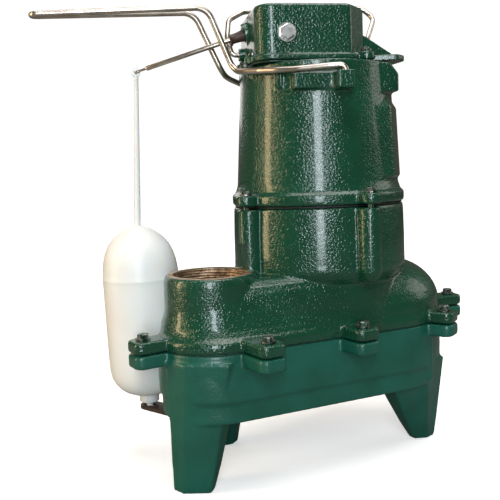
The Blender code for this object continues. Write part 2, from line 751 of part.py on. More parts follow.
def arm_boot(joint):
    """Seal boot where the arm enters the case."""
    way = arm_way()
    outline = [(2.4, 14.5), (5.4, 14.5), (5.4, 13.3), (4.1, 12.6), (4.3, 6.5), (5.2, 2),
               (5.0, -1.5), (3.6, -3), (2.4, -3)]
    boot = turned("arm_bushing", outline, (0, 0), 24, ARM)
    boot.rotation_mode = "QUATERNION"
    boot.rotation_quaternion = way.to_track_quat("Z", "Y")
    boot.location = Vector(ARM_PIVOT) * MM
    return on_joint(finish(boot, BROWN, ARM), joint)


def circle(centre, radius, count=16):
    return arc(centre, radius, 0, 360 - 360 / count, count)


def float_line(z):
    """The float's own axis, which leans a little, at a height."""
    share = (z - FLOAT_BOTTOM[2]) / (FLOAT_TOP[2] - FLOAT_BOTTOM[2])
    return Vector(FLOAT_BOTTOM).lerp(Vector(FLOAT_TOP), share)


def float_rod(joint):
    """Plastic rod with an eye on the arm's pin. It runs through the float."""
    eye = Vector((ARM_TIP[0], FLOAT_TOP[1], ARM_TIP[2]))
    top = Vector(FLOAT_TOP)
    sections = [(z, circle(float_line(z).xy, r)) for z, r in
                ((38.5, 1.3), (41.5, 2.3), (49, 2.9), (198, 2.9))]
    sections += [(z, circle(top.lerp(eye, (z - top.z) / (eye.z - top.z)).xy, r)) for z, r in
                 ((207, 2.9), (260, 2.5), (eye.z - 3, 1.9))]
    body = loft("float_rod", sections, ARM)
    ring = lying_rod("rod_eye", 3.6, eye + Vector((0, 1.7, 0)), eye - Vector((0, 1.7, 0)), ARM, 20)
    hole = lying_rod("eye_hole", 1.4, eye + Vector((0, 9, 0)), eye - Vector((0, 9, 0)), ARM, 16)
    cut(join(body, ring), hole)
    return on_joint(finish(body, WHITE, ARM), joint)


def float_ball(joint):
    """Hollow-looking float with a domed top, a rounded bottom and a short neck."""
    outline = [(3.25, 205), (5.5, 204.4), (13, 200.5), (21.5, 193.5), (27.5, 185),
               (31, 176), (FLOAT_R - 0.4, 167), (FLOAT_R, 158), (FLOAT_R - 0.5, 80),
               (30, 71), (25, 63.5), (17, 58.5), (9.5, 57), (8.6, 55), (8.6, 49.5), (7.6, 48.5),
               (3.25, 48.5)]
    base = Vector(FLOAT_BOTTOM)
    lean = Vector(FLOAT_TOP) - base
    turned_outline = [(r, z - base.z) for r, z in outline]
    ball = turned("float", turned_outline, (0, 0), 40, ARM)
    ball.rotation_mode = "QUATERNION"
    ball.rotation_quaternion = lean.to_track_quat("Z", "Y")
    ball.location = base * MM
    return on_joint(finish(ball, WHITE, ARM), joint)


def rod_clip(joint):
    """Clip that keeps the float rod's eye on the pin."""
    tip = Vector(ARM_TIP)
    clip = turned("rod_clip", [(3.0, 0.6), (3.0, -0.6), (1.3, -0.6), (1.3, 0.6)], (0, 0), 16, ARM)
    clip.rotation_euler.x = math.radians(90)
    clip.location = Vector((tip.x, FLOAT_TOP[1] - 2.8, tip.z)) * MM
    return on_joint(finish(clip, ZINC, ARM), joint)


def float_switch():
    """Switch body in the case, with a socket for its plunger."""
    body = box("float_switch", (14, -9.5, CASE_Z - 0.8 + GAP), (49, 9.5, 352.5), ARM)
    cut(body, rod("plunger_socket", 2.6, 343.5, 360, (43.5, 0), 16, ARM))
    plunger = rod("switch_plunger", 2.2, 351, 358.8, (43.5, 0), 16, ARM)
    finish(plunger, WHITE, ARM)
    return finish(body, BLACK, ARM)


def cord_gland():
    """Gland nut over the cord inlet at the back."""
    nut = loft("cord_gland", [(0, hex_profile(11)), (8, hex_profile(11)), (10, hex_profile(9))],
               ARM)
    collar = turned("gland_collar", [(0, 14), (7.5, 14), (8.5, 12), (8.5, 8), (0, 8)], (0, 0), 24,
                    nut)
    sleeve = turned("gland_sleeve", [(0, 1), (6.0, 1), (6.0, -9), (0, -9)], (0, 0), 24, nut)
    join(nut, collar, sleeve)
    cut(nut, turned("gland_bore", [(0, 20), (4.2, 20), (4.2, -20), (0, -20)], (0, 0), 20, nut))
    nut.rotation_euler.x = math.radians(90)
    nut.location = (-30 * MM, -(68 + GAP) * MM, 312 * MM)
    return finish(nut, BLACK, ARM)


# ---- motor and impeller --------------------------------------------------

def motor():
    finish(tube("stator_core", 59, 36, 214, 296, steps=48), IRON)
    for name, z0, z1 in (("upper_winding", 296.3, 307), ("lower_winding", 202, 213.7)):
        ring = turned(name, [(52, z1), (55, z1 - 3), (55, z0 + 1), (54, z0), (40, z0),
                             (38, z0 + 1), (38, z1 - 3), (42, z1)], (0, 0), 36)
        finish(ring, COPPER)
    finish(tube("rotor_core", 35, SHAFT_R + GAP, 216, 294, steps=40), IRON)
    shaft = turned("motor_shaft", [
        (0, 314), (5, 314), (6, 313), (6, 298), (SHAFT_R, 298), (SHAFT_R, 128.3), (5, 128.3),
        (5, 119), (4, 118), (0, 118)], (0, 0), 24)
    finish(shaft, STEEL)
    finish(tube("upper_bearing", 15.3, 6.3, 300, 311, steps=32), STEEL)
    finish(tube("lower_bearing", 17.3, SHAFT_R + GAP, 177, 189, steps=32), STEEL)
    finish(tube("seal_seat", 16.7, SHAFT_R + 2, 163, 168.7, steps=32), CERAMIC)
    head = turned("seal_head", [(12, 162.7), (14, 161.5), (14, 156.3), (SHAFT_R + GAP, 156.3),
                                (SHAFT_R + GAP, 162.7)], (0, 0), 32)
    finish(head, BLACK)
    turns, per_turn = 2.5, 12
    coil = []
    for i in range(int(turns * per_turn) + 1):
        around = 2 * math.pi * i / per_turn
        coil.append((11 * math.cos(around), 11 * math.sin(around), 149 + 2.2 * i / per_turn))
    finish(wire("seal_spring", coil, 1.5, PUMP), STEEL)


def impeller():
    disc = turned("impeller", [
        (0, 147), (12, 147), (13, 146), (48, 145), (50, 144), (50, 140.5), (14, 138), (12, 129),
        (0, 129)], (0, 0), 48)
    for i in range(6):
        way = math.radians(60 * i)
        ring = [(10, -4), (26, -4.5), (40, -1), (49, 6), (47, 9), (38, 3), (25, 0), (10, 0)]
        outline = [(x * math.cos(way) - y * math.sin(way), x * math.sin(way) + y * math.cos(way))
                   for x, y in ring]
        join(disc, plate(f"vane_{i}", outline, 127.5, 142))
    cut(disc, rod("impeller_bore", SHAFT_R + GAP, 110, 160, steps=24))
    finish(disc, IRON)
    nut = loft("impeller_nut", [(119.5, hex_profile(8)), (127, hex_profile(8))])
    cut(nut, rod("nut_hole", 5 + GAP, 110, 140, steps=20))
    finish(nut, ZINC)


def build():
    base_casting()
    base_gasket()
    pump_housing()
    motor_gasket()
    motor_housing()
    case_gasket()
    switch_case()
    base_bolts()
    motor_screws()
    case_screws()
    case_bolt()
    guard_rod()
    lift_bail()
    float_bracket()
    bracket_screw()
    arm_joint = joint_frame("arm_joint", ARM_PIVOT)
    float_arm(arm_joint)
    arm_boot(arm_joint)
    rod_joint = joint_frame("rod_joint", (ARM_TIP[0], FLOAT_TOP[1], ARM_TIP[2]))
    float_rod(rod_joint)
    float_ball(rod_joint)
    rod_clip(arm_joint)
    float_switch()
    cord_gland()
    motor()
    impeller()


build()
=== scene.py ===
import math

import bmesh
import bpy
from mathutils import Matrix, Vector


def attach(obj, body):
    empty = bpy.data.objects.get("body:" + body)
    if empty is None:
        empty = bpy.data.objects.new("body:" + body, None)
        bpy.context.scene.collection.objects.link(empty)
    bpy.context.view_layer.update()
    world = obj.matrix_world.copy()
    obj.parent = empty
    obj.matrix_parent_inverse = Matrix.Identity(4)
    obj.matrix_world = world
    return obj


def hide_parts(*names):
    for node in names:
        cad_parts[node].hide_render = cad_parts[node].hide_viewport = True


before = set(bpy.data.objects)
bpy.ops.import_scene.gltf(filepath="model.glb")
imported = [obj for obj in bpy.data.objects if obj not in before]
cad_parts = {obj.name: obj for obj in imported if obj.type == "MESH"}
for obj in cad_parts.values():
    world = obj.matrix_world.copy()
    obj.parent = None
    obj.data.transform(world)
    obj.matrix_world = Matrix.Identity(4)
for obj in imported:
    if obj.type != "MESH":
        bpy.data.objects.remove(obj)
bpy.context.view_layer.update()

MM = 0.001
AXIS = Vector((33.63, -7.93))        # the motor axis in the world, in mm
TURN = math.radians(158)             # direction of the float arm
U = Vector((math.cos(TURN), math.sin(TURN)))
B = Vector((-math.sin(TURN), math.cos(TURN)))
NECK = (-110.0, -4.5)                # round end of the body at the discharge
VOLUTE = (45.0, 0.0)
PORT = (-110.0, 0.0)
EARS = ((-171, 0), (-102, -70), (-17, -77), (76, -75), (139, -22),
        (139, 22), (76, 75), (-17, 77), (-88, 71))
SCREW_ANGLES = (6, 84, 186, 264)     # motor screws around the motor axis, in degrees
SCREW_RADIUS = 79                    # motor screws from the motor axis
CASE_SCREWS = ((57, 20), (57, -20), (-33, 40), (-33, -40))
EAR_RADIUS = 11.2
EAR_HOLE = 3.5
SCREW_HOLE = 2.9
CASE_FOOT = 334.0                    # underside of the switch case
BAIL_ACROSS, BAIL_HEIGHT = -9, 347   # axis of the lifting bail
GUARD_RADIUS = 2.4
BAIL_RADIUS = 2.15
THREAD_PITCH, THREAD_DEPTH, THREAD_INNER = 2.2, 0.95, 29.2
FLOOR_RADIUS = 6000
PIVOT = (58.5, 0.0, 362.3)
ARM_TIP = (151.5, -10.5, 334.0)
FLOAT_TOP = (157.3, -14.0, 203.0)
FLOAT_LOW = (154.8, -14.0, 48.0)


def pump(x, y, z):
    """A place in the pump's own frame, in mm, as a world place in metres."""
    return Vector((x + AXIS.x, y + AXIS.y, z)) * MM


def arm(u, b, z):
    """A place in the switch frame, whose first axis runs along the float arm."""
    flat = U * u + B * b
    return pump(flat.x, flat.y, z)


# ---- closed shapes, gathered in one bmesh --------------------------------

def skin(work, rings):
    """A closed solid through rings of places, each with as many points."""
    loops = [[work.verts.new(place) for place in ring] for ring in rings]
    count = len(loops[0])
    for lower, upper in zip(loops, loops[1:]):
        for i in range(count):
            j = (i + 1) % count
            work.faces.new((lower[i], lower[j], upper[j], upper[i]))
    work.faces.new(loops[0][::-1])
    work.faces.new(loops[-1])


def arc(centre, radius, start, end, count):
    """Places along an arc, with its two ends in degrees."""
    turns = [math.radians(start + (end - start) * i / (count - 1)) for i in range(count)]
    return [(centre[0] + radius * math.cos(t), centre[1] + radius * math.sin(t))
            for t in turns]


def body_outline(neck_r, volute_r, volute=VOLUTE, neck=NECK):
    """Two circles and the straight sides that touch both."""
    way = Vector(volute) - Vector(neck)
    turn = math.degrees(math.atan2(way.y, way.x))
    lean = math.degrees(math.asin((volute_r - neck_r) / way.length)) + 90
    return (arc(volute, volute_r, turn - lean, turn + lean, 60)
            + arc(neck, neck_r, turn + lean, turn + 360 - lean, 40))


def capsule(start, end, radius, count=14):
    """A straight slot shape around two places."""
    way = math.degrees(math.atan2(end[1] - start[1], end[0] - start[0]))
    return (arc(end, radius, way - 90, way + 90, count)
            + arc(start, radius, way + 90, way + 270, count))


def rounded(corners, radii, count=10):
    """A polygon with its corners rounded."""
    if not isinstance(radii, list):
        radii = [radii] * len(corners)
    points = []
    for i, corner in enumerate(corners):
        before, here = Vector(corners[i - 1]), Vector(corner)
        after = Vector(corners[(i + 1) % len(corners)])
        to_before, to_after = (before - here).normalized(), (after - here).normalized()
        half = to_before.angle(to_after) / 2
        reach = radii[i] / math.tan(half)
        middle = here + (to_before + to_after).normalized() * radii[i] / math.sin(half)
        start, end = here + to_before * reach - middle, here + to_after * reach - middle
        for j in range(count):
            step = start.lerp(end, j / (count - 1)).normalized() * radii[i]
            points.append(tuple(middle + step))
    return points


def stack(work, sections, place=pump):
    """Sections of (z, outline), as one closed solid."""
    skin(work, [[place(x, y, z) for x, y in outline] for z, outline in sections])


def slab(work, outline, z0, z1, place=pump):
    """An outline raised straight up between two heights."""
    stack(work, [(z0, outline), (z1, outline)], place)


def turned(work, profile, centre=(0, 0), place=pump, count=120):
    """A turned solid from (radius, z), bottom to top."""
    rings = []
    for radius, z in profile:
        ring = arc(centre, max(radius, 0.02), 0, 360 - 360 / count, count)
        rings.append([place(x, y, z) for x, y in ring])
    skin(work, rings)


def bar(work, start, end, radius, place=pump, count=24, end_radius=None):
    """A round bar between two places."""
    a, b = place(*start), place(*end)
    to = (b - a).to_track_quat("Z", "Y")
    rings = []
    for base, r in ((a, radius), (b, end_radius or radius)):
        rings.append([base + to @ (Vector((x, y, 0)) * MM)
                      for x, y in arc((0, 0), r, 0, 360 - 360 / count, count)])
    skin(work, rings)


def to_object(name, work):
    """Turns the gathered solids into a linked object."""
    bmesh.ops.recalc_face_normals(work, faces=work.faces)
    bmesh.ops.triangulate(work, faces=[f for f in work.faces if len(f.verts) > 4])
    mesh = bpy.data.meshes.new(name)
    work.to_mesh(mesh)
    work.free()
    obj = bpy.data.objects.new(name, mesh)
    bpy.context.scene.collection.objects.link(obj)
    return obj


def freeze(obj):
    """Replaces the mesh with what its modifiers make of it."""
    bpy.context.view_layer.update()
    seen = obj.evaluated_get(bpy.context.evaluated_depsgraph_get())
    mesh = bpy.data.meshes.new_from_object(seen)
    obj.modifiers.clear()
    obj.data = mesh
    return obj


def cast(name, work, voxel, rounds, factor=0.5):
    """Fuses the gathered solids and softens every corner, as a sand casting's are."""
    obj = to_object(name, work)
    fuse = obj.modifiers.new("fuse", "REMESH")
    fuse.mode = "VOXEL"
    fuse.voxel_size = voxel * MM
    soft = obj.modifiers.new("soft", "SMOOTH")
    soft.factor = factor
    soft.iterations = rounds
    return freeze(obj)


def carve(obj, work):
    """Cuts the gathered solids out of a casting."""
    tool = to_object(obj.name + "_tool", work)
    mod = obj.modifiers.new("cut", "BOOLEAN")
    mod.operation = "DIFFERENCE"
    mod.solver = "EXACT"
    mod.object = tool
    freeze(obj)
    bpy.data.objects.remove(tool, do_unlink=True)
    return obj


def smooth(obj, degrees=40):
    """Smooth shading, with edges sharper than this kept crisp."""
    obj.data.shade_smooth()
    obj.data.set_sharp_from_angle(angle=math.radians(degrees))
    return obj


def tube(name, path, radii, place):
    """A round rod of varying radius, on a smooth curve through its bends."""
    curve = bpy.data.curves.new(name, "CURVE")
    curve.dimensions = "3D"
    curve.bevel_depth = MM
    curve.bevel_resolution = 6
    curve.use_fill_caps = True
    line = curve.splines.new("POLY")
    line.points.add(len(path) - 1)
    for point, spot, radius in zip(line.points, path, radii):
        point.co = (*place(*spot), 1)
        point.radius = radius
    obj = bpy.data.objects.new(name, curve)
    bpy.context.scene.collection.objects.link(obj)
    mesh = bpy.data.meshes.new_from_object(
        obj.evaluated_get(bpy.context.evaluated_depsgraph_get()))
    bpy.data.objects.remove(obj, do_unlink=True)
    made = bpy.data.objects.new(name, mesh)
    bpy.context.scene.collection.objects.link(made)
    return smooth(made, 60)


def bent(corners, radii, count=10):
    """A path through the corners, with a round bend at each inner one."""
    path = [Vector(corners[0])]
    for i in range(1, len(corners) - 1):
        before, here, after = (Vector(corners[j]) for j in (i - 1, i, i + 1))
        to_before, to_after = (before - here).normalized(), (after - here).normalized()
        half = to_before.angle(to_after) / 2
        reach = radii[i - 1] / math.tan(half)
        middle = here + (to_before + to_after).normalized() * radii[i - 1] / math.sin(half)
        start, end = here + to_before * reach - middle, here + to_after * reach - middle
        for j in range(count):
            path.append(middle + start.lerp(end, j / (count - 1)).normalized() * radii[i - 1])
    path.append(Vector(corners[-1]))
    return path


# ---- materials -----------------------------------------------------------

class Look:
    """A node material under construction."""

    def __init__(self, name):
        self.material = bpy.data.materials.new(name)
        self.material.use_nodes = True
        self.nodes = self.material.node_tree.nodes
        self.links = self.material.node_tree.links
        self.shader = self.nodes["Principled BSDF"]
        self.coords = self.nodes.new("ShaderNodeTexCoord").outputs["Object"]

    def set(self, **values):
        for key, value in values.items():
            self.shader.inputs[key.replace("_", " ")].default_value = value
        return self

    def noise(self, scale, detail=2.0, stretch=None, roughness=0.5):
        source = self.coords
        if stretch:
            mapping = self.nodes.new("ShaderNodeMapping")
            mapping.inputs["Scale"].default_value = stretch
            self.links.new(source, mapping.inputs["Vector"])
            source = mapping.outputs["Vector"]
        made = self.nodes.new("ShaderNodeTexNoise")
        made.inputs["Scale"].default_value = scale
        made.inputs["Detail"].default_value = detail
        made.inputs["Roughness"].default_value = roughness
        self.links.new(source, made.inputs["Vector"])
        return made.outputs["Fac"]

    def ramp(self, source, stops):
        made = self.nodes.new("ShaderNodeValToRGB")
        points = made.color_ramp.elements
        while len(points) < len(stops):
            points.new(0.5)
        for point, (place, colour) in zip(points, stops):
            point.position = place
            point.color = (*colour, 1)
        self.links.new(source, made.inputs["Fac"])
        return made.outputs["Color"]

    def colour(self, source, stops):
        self.links.new(self.ramp(source, stops), self.shader.inputs["Base Color"])
        return self

    def rough(self, source, low, high):
        made = self.nodes.new("ShaderNodeMapRange")
        made.inputs["To Min"].default_value = low
        made.inputs["To Max"].default_value = high
        self.links.new(source, made.inputs["Value"])
        self.links.new(made.outputs["Result"], self.shader.inputs["Roughness"])
        return self

    def bump(self, *layers):
        """Layers of (height source, depth in mm)."""
        last = None
        for source, depth in layers:
            made = self.nodes.new("ShaderNodeBump")
            made.inputs["Distance"].default_value = depth * MM
            self.links.new(source, made.inputs["Height"])
            if last:
                self.links.new(last, made.inputs["Normal"])
            last = made.outputs["Normal"]
        self.links.new(last, self.shader.inputs["Normal"])
        return self


def enamel(name, dark, light, low, high, peel, coat):
    """Green enamel over cast iron, with an orange-peel skin."""
    look = Look(name).set(IOR=1.5, Coat_Weight=coat, Coat_Roughness=0.12)
    look.colour(look.noise(38, 3), [(0.3, dark), (0.7, light)])
    look.rough(look.noise(120, 3), low, high)
    return look.bump((look.noise(85, 2), 0.30), (look.noise(590, 1), peel)).material


GLOSS = enamel("gloss_enamel", (0.003, 0.047, 0.022), (0.005, 0.066, 0.034), 0.14, 0.22, 0.66, 0.5)
SATIN = enamel("satin_enamel", (0.005, 0.084, 0.054), (0.009, 0.112, 0.076), 0.28, 0.42, 0.22, 0.15)


def steel():
    look = Look("drawn_stainless").set(Metallic=1.0)
    look.colour(look.noise(60, 3), [(0.35, (0.47, 0.40, 0.34)), (0.65, (0.66, 0.60, 0.53))])
    look.rough(look.noise(240, 3), 0.27, 0.36)
    return look.bump((look.noise(900, 2), 0.006)).material


def plated(name, dark, light, metallic):
    look = Look(name).set(Metallic=metallic)
    look.colour(look.noise(330, 4), [(0.42, dark), (0.66, light)])
    look.rough(look.noise(500, 2), 0.2, 0.42)
    return look.bump((look.noise(1200, 2), 0.03)).material


def port_metal():
    look = Look("machined_port").set(Metallic=0.85)
    look.colour(look.noise(150, 5, roughness=0.7),
                [(0.30, (0.10, 0.045, 0.022)), (0.50, (0.42, 0.27, 0.16)),
                 (0.72, (0.66, 0.56, 0.46))])
    look.rough(look.noise(260, 4), 0.28, 0.62)
    return look.bump((look.noise(700, 3), 0.08)).material


def moulded(name, dark, light, low, high, sub=0.0):
    look = Look(name).set(IOR=1.47, Subsurface_Weight=sub, Subsurface_Scale=0.004)
    look.colour(look.noise(45, 3), [(0.3, dark), (0.7, light)])
    look.rough(look.noise(160, 3), low, high)
    return look.bump((look.noise(22, 2), 0.30), (look.noise(700, 2), 0.03)).material


STEEL = steel()
ZINC = plated("bright_plated_bolt", (0.62, 0.61, 0.60), (0.88, 0.87, 0.86), 1.0)
PAINTED = plated("half_painted_bolt", (0.012, 0.050, 0.032), (0.34, 0.33, 0.30), 0.7)
PORT_METAL = port_metal()
WHITE = moulded("float_plastic", (0.92, 0.905, 0.87), (0.96, 0.95, 0.93), 0.30, 0.44, 0.15)
BROWN = moulded("boot_rubber", (0.050, 0.026, 0.018), (0.090, 0.050, 0.034), 0.40, 0.60)
STRAP = moulded("strap_plastic", (0.035, 0.020, 0.015), (0.070, 0.040, 0.030), 0.42, 0.62)
SEAM = moulded("painted_seam", (0.003, 0.030, 0.018), (0.006, 0.045, 0.028), 0.40, 0.60)
BLACK = moulded("black_rubber", (0.010, 0.010, 0.010), (0.022, 0.022, 0.022), 0.50, 0.72)


def metal(name, dark, light, low, high):
    look = Look(name).set(Metallic=1.0)
    look.colour(look.noise(200, 4), [(0.3, dark), (0.7, light)])
    look.rough(look.noise(300, 3), low, high)
    return look.bump((look.noise(800, 2), 0.05)).material


IRON = metal("bare_iron", (0.16, 0.15, 0.15), (0.30, 0.29, 0.28), 0.40, 0.65)
COPPER = metal("winding_copper", (0.45, 0.17, 0.06), (0.72, 0.32, 0.13), 0.30, 0.50)
CERAMIC = moulded("seal_ceramic", (0.68, 0.64, 0.58), (0.78, 0.74, 0.68), 0.25, 0.40)


def wear(obj, look, body, slot=None, *nodes):
    """Gives a piece its material and its body, and hides the CAD nodes it stands for."""
    obj.data.materials.clear()
    obj.data.materials.append(look)
    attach(obj, body)
    if nodes:
        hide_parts(*nodes)
    return obj


def toward(point, centre, distance):
    """A place moved this far toward another."""
    way = Vector(centre) - Vector(point)
    return tuple(Vector(point) + way.normalized() * distance)


def ear_root(ear):
    """The nearest place on the body's middle line, which an ear points away from."""
    x = min(max(ear[0], NECK[0]), VOLUTE[0])
    return (x, 0)


def lobe(spot, root, width, reach, corner):
    """A squarish ear: its outer end is beyond the bolt, its inner end in the body."""
    out = (Vector(spot) - Vector(root)).normalized()
    side = Vector((-out.y, out.x)) * width
    end, start = Vector(spot) + out * reach, Vector(spot) - out * 26
    corners = [tuple(start - side), tuple(end - side), tuple(end + side), tuple(start + side)]
    return rounded(corners, [1, corner, corner, 1])


def ear(work, spot, root, radius, low, high, place=pump):
    """A bolt ear with softened edges that blends into the body."""
    whole = lobe(spot, root, radius, radius - 1.0, 6.5)
    trimmed = lobe(spot, root, radius - 1.2, radius - 2.2, 6)
    stack(work, [(low, trimmed), (low + 1.2, whole), (high - 1.2, whole), (high, trimmed)],
          place)


def on_circle(angle, radius):
    """A place on a circle around the motor axis."""
    turn = math.radians(angle)
    return (radius * math.cos(turn), radius * math.sin(turn))


# ---- base casting --------------------------------------------------------

def leg(work, top, foot, top_z):
    """A leg that narrows almost evenly to its foot."""
    knee = [((a[0] + b[0] * 3) / 4, (a[1] + b[1] * 3) / 4) for a, b in zip(top, foot)]
    stack(work, [(0, foot), (top_z * 0.22, knee), (top_z, top)])


def base_casting():
    """Lower casting with its skirt, three legs and bolt ears."""
    work = bmesh.new()
    stack(work, [
        (58, body_outline(44.5, 70)), (60, body_outline(45, 70.5)),
        (73, body_outline(45, 70.5)), (76, body_outline(47, 72.5)),
        (88, body_outline(47.3, 72.8)), (112.2, body_outline(46.3, 71.8))])
    for spot in EARS:
        ear(work, spot, ear_root(spot), EAR_RADIUS, 101.4, 112.1)
    for x, side in ((-72, -1), (-40, -1), (66, -1), (-72, 1), (0, 1), (66, 1)):
        wall = 47.8 + 25.2 * (x - NECK[0]) / (VOLUTE[0] - NECK[0]) if x < VOLUTE[0] else 70
        slab(work, [(x - 1.3, side * 30), (x + 1.3, side * 30), (x + 1.3, side * wall),
                    (x - 1.3, side * wall)], 62, 100)
    leg(work, [(-158, -11), (-152, -32), (-126, -53), (-108, -44), (-112, -20), (-140, 4)],
        [(-155, -7), (-152, -18), (-134, -30), (-127, -24), (-132, -8), (-146, 2)], 106)
    leg(work, [(20, -40), (18, -66.5), (60, -71.5), (92, -60), (100, -42), (60, -34)],
        [(70, -38), (69, -46), (80, -51.5), (91, -49), (93, -40), (80, -34)], 76)
    leg(work, [(-104, 36), (-60, 34), (-46, 50), (-48, 62), (-80, 56), (-106, 52)],
        [(-84, 46), (-70, 44), (-62, 49), (-62, 57), (-72, 60), (-84, 55)], 76)
    body = cast("cast_base", work, 1.15, 5)
    hollow = bmesh.new()
    turned(hollow, [(31, 40), (31, 101)])
    turned(hollow, [(29, 80), (29, 120)], PORT)
    for spot in EARS:
        turned(hollow, [(EAR_HOLE, 96), (EAR_HOLE, 118)], spot, count=24)
    carve(body, hollow)
    return wear(smooth(body, 50), SATIN, "pump_body", "painted_satin", "base_casting")


# ---- pump housing --------------------------------------------------------

def pump_housing():
    """Upper casting: volute, wall under the motor, discharge boss and shell."""
    work = bmesh.new()
    stack(work, [
        (113.0, body_outline(46.4, 72)), (114.0, body_outline(46.8, 72.4)),
        (119.6, body_outline(46.8, 72.4)), (121.2, body_outline(45.6, 72)),
        (124, body_outline(42.5, 71.6)), (129, body_outline(39, 71.4)),
        (134.5, body_outline(36.5, 70.8)), (141, body_outline(34.8, 68.4)),
        (146, body_outline(33.8, 65.4)), (151, body_outline(32, 61.2)),
        (155, body_outline(29.8, 56.8)), (158.5, body_outline(26.5, 51.6)),
        (161, body_outline(22.5, 46.2)), (163, body_outline(18, 40.4)),
        (165, body_outline(11, 31))])
    stack(work, [(z, body_outline(neck_r, wall_r, (0, 0), PORT)) for z, neck_r, wall_r in (
        (118, 40, 70), (126, 38.5, 69), (134, 36.5, 68.2), (150, 34.5, 67.4), (157, 30, 66.6),
        (161, 24, 65.4), (164, 17, 62))])
    turned(work, [
        (60, 150), (69.0, 157), (72.2, 161.0), (74.2, 164.6), (74.6, 167.6), (74.4, 171),
        (74.2, 190), (73.5, 214), (72.9, 217.2)])
    turned(work, [
        (42.4, 118), (42.2, 124), (40.9, 131), (39.0, 136.5), (38.1, 142), (37.8, 163),
        (36.8, 166.6), (35.2, 167.9)], PORT)
    for spot in EARS:
        ear(work, spot, ear_root(spot), EAR_RADIUS, 113.1, 122.5)
    for angle in SCREW_ANGLES:
        spot = on_circle(angle, 77)
        root = toward(spot, (0, 0), 16)
        stack(work, [(158, capsule(spot, root, 6)), (166, capsule(spot, root, 9.4)),
                     (215.6, capsule(spot, root, 9.4)), (216.8, capsule(spot, root, 8.4))])
    body = cast("cast_pump_housing", work, 1.1, 5)
    hollow = bmesh.new()
    turned(hollow, [(30.4, 100), (30.4, 190)], PORT)
    for angle in SCREW_ANGLES:
        spot = on_circle(angle, SCREW_RADIUS)
        turned(hollow, [(SCREW_HOLE, 192), (SCREW_HOLE, 230)], spot, count=20)
    for spot in EARS:
        turned(hollow, [(EAR_HOLE, 105), (EAR_HOLE, 130)], spot, count=24)
    turned(hollow, [(52, 105), (52, 138)], (0, 0))
    turned(hollow, [(66, 180), (66, 230)], (0, 0))
    carve(body, hollow)
    return wear(smooth(body, 50), GLOSS, "pump_body", "painted_gloss", "pump_housing")


def port_liner():
    """Machined face and threaded bore of the discharge."""
    work = bmesh.new()
    around, low, high = 144, 116.0, 166.4
    levels = [low + (high - low) * i / 150 for i in range(151)]
    rows = [[(30.6, low)] * around]
    for z in levels:
        row = []
        for i in range(around):
            phase = (z / THREAD_PITCH - i / around) % 1.0
            depth = THREAD_DEPTH * (1 - abs(2 * phase - 1)) * min(1, (high - z) / 3 + 0.15)
            row.append((THREAD_INNER + THREAD_DEPTH - depth, z))
        rows.append(row)
    rows += [[(29.9, high + 0.4)] * around, [(31.2, 167.95)] * around, [(34.4, 168.0)] * around,
             [(34.9, 167.6)] * around, [(34.9, 166.5)] * around, [(30.6, 166.3)] * around]
    loops = []
    for row in rows:
        ring = []
        for i, (radius, z) in enumerate(row):
            turn = 2 * math.pi * i / around
            spot = pump(PORT[0] + radius * math.cos(turn), PORT[1] + radius * math.sin(turn), z)
            ring.append(work.verts.new(spot))
        loops.append(ring)
    for lower, upper in zip(loops, loops[1:] + loops[:1]):
        for i in range(around):
            j = (i + 1) % around
            work.faces.new((lower[i], lower[j], upper[j], upper[i]))
    liner = smooth(to_object("port_liner", work), 50)
    return wear(liner, PORT_METAL, "pump_body", "iron")


# ---- motor housing -------------------------------------------------------

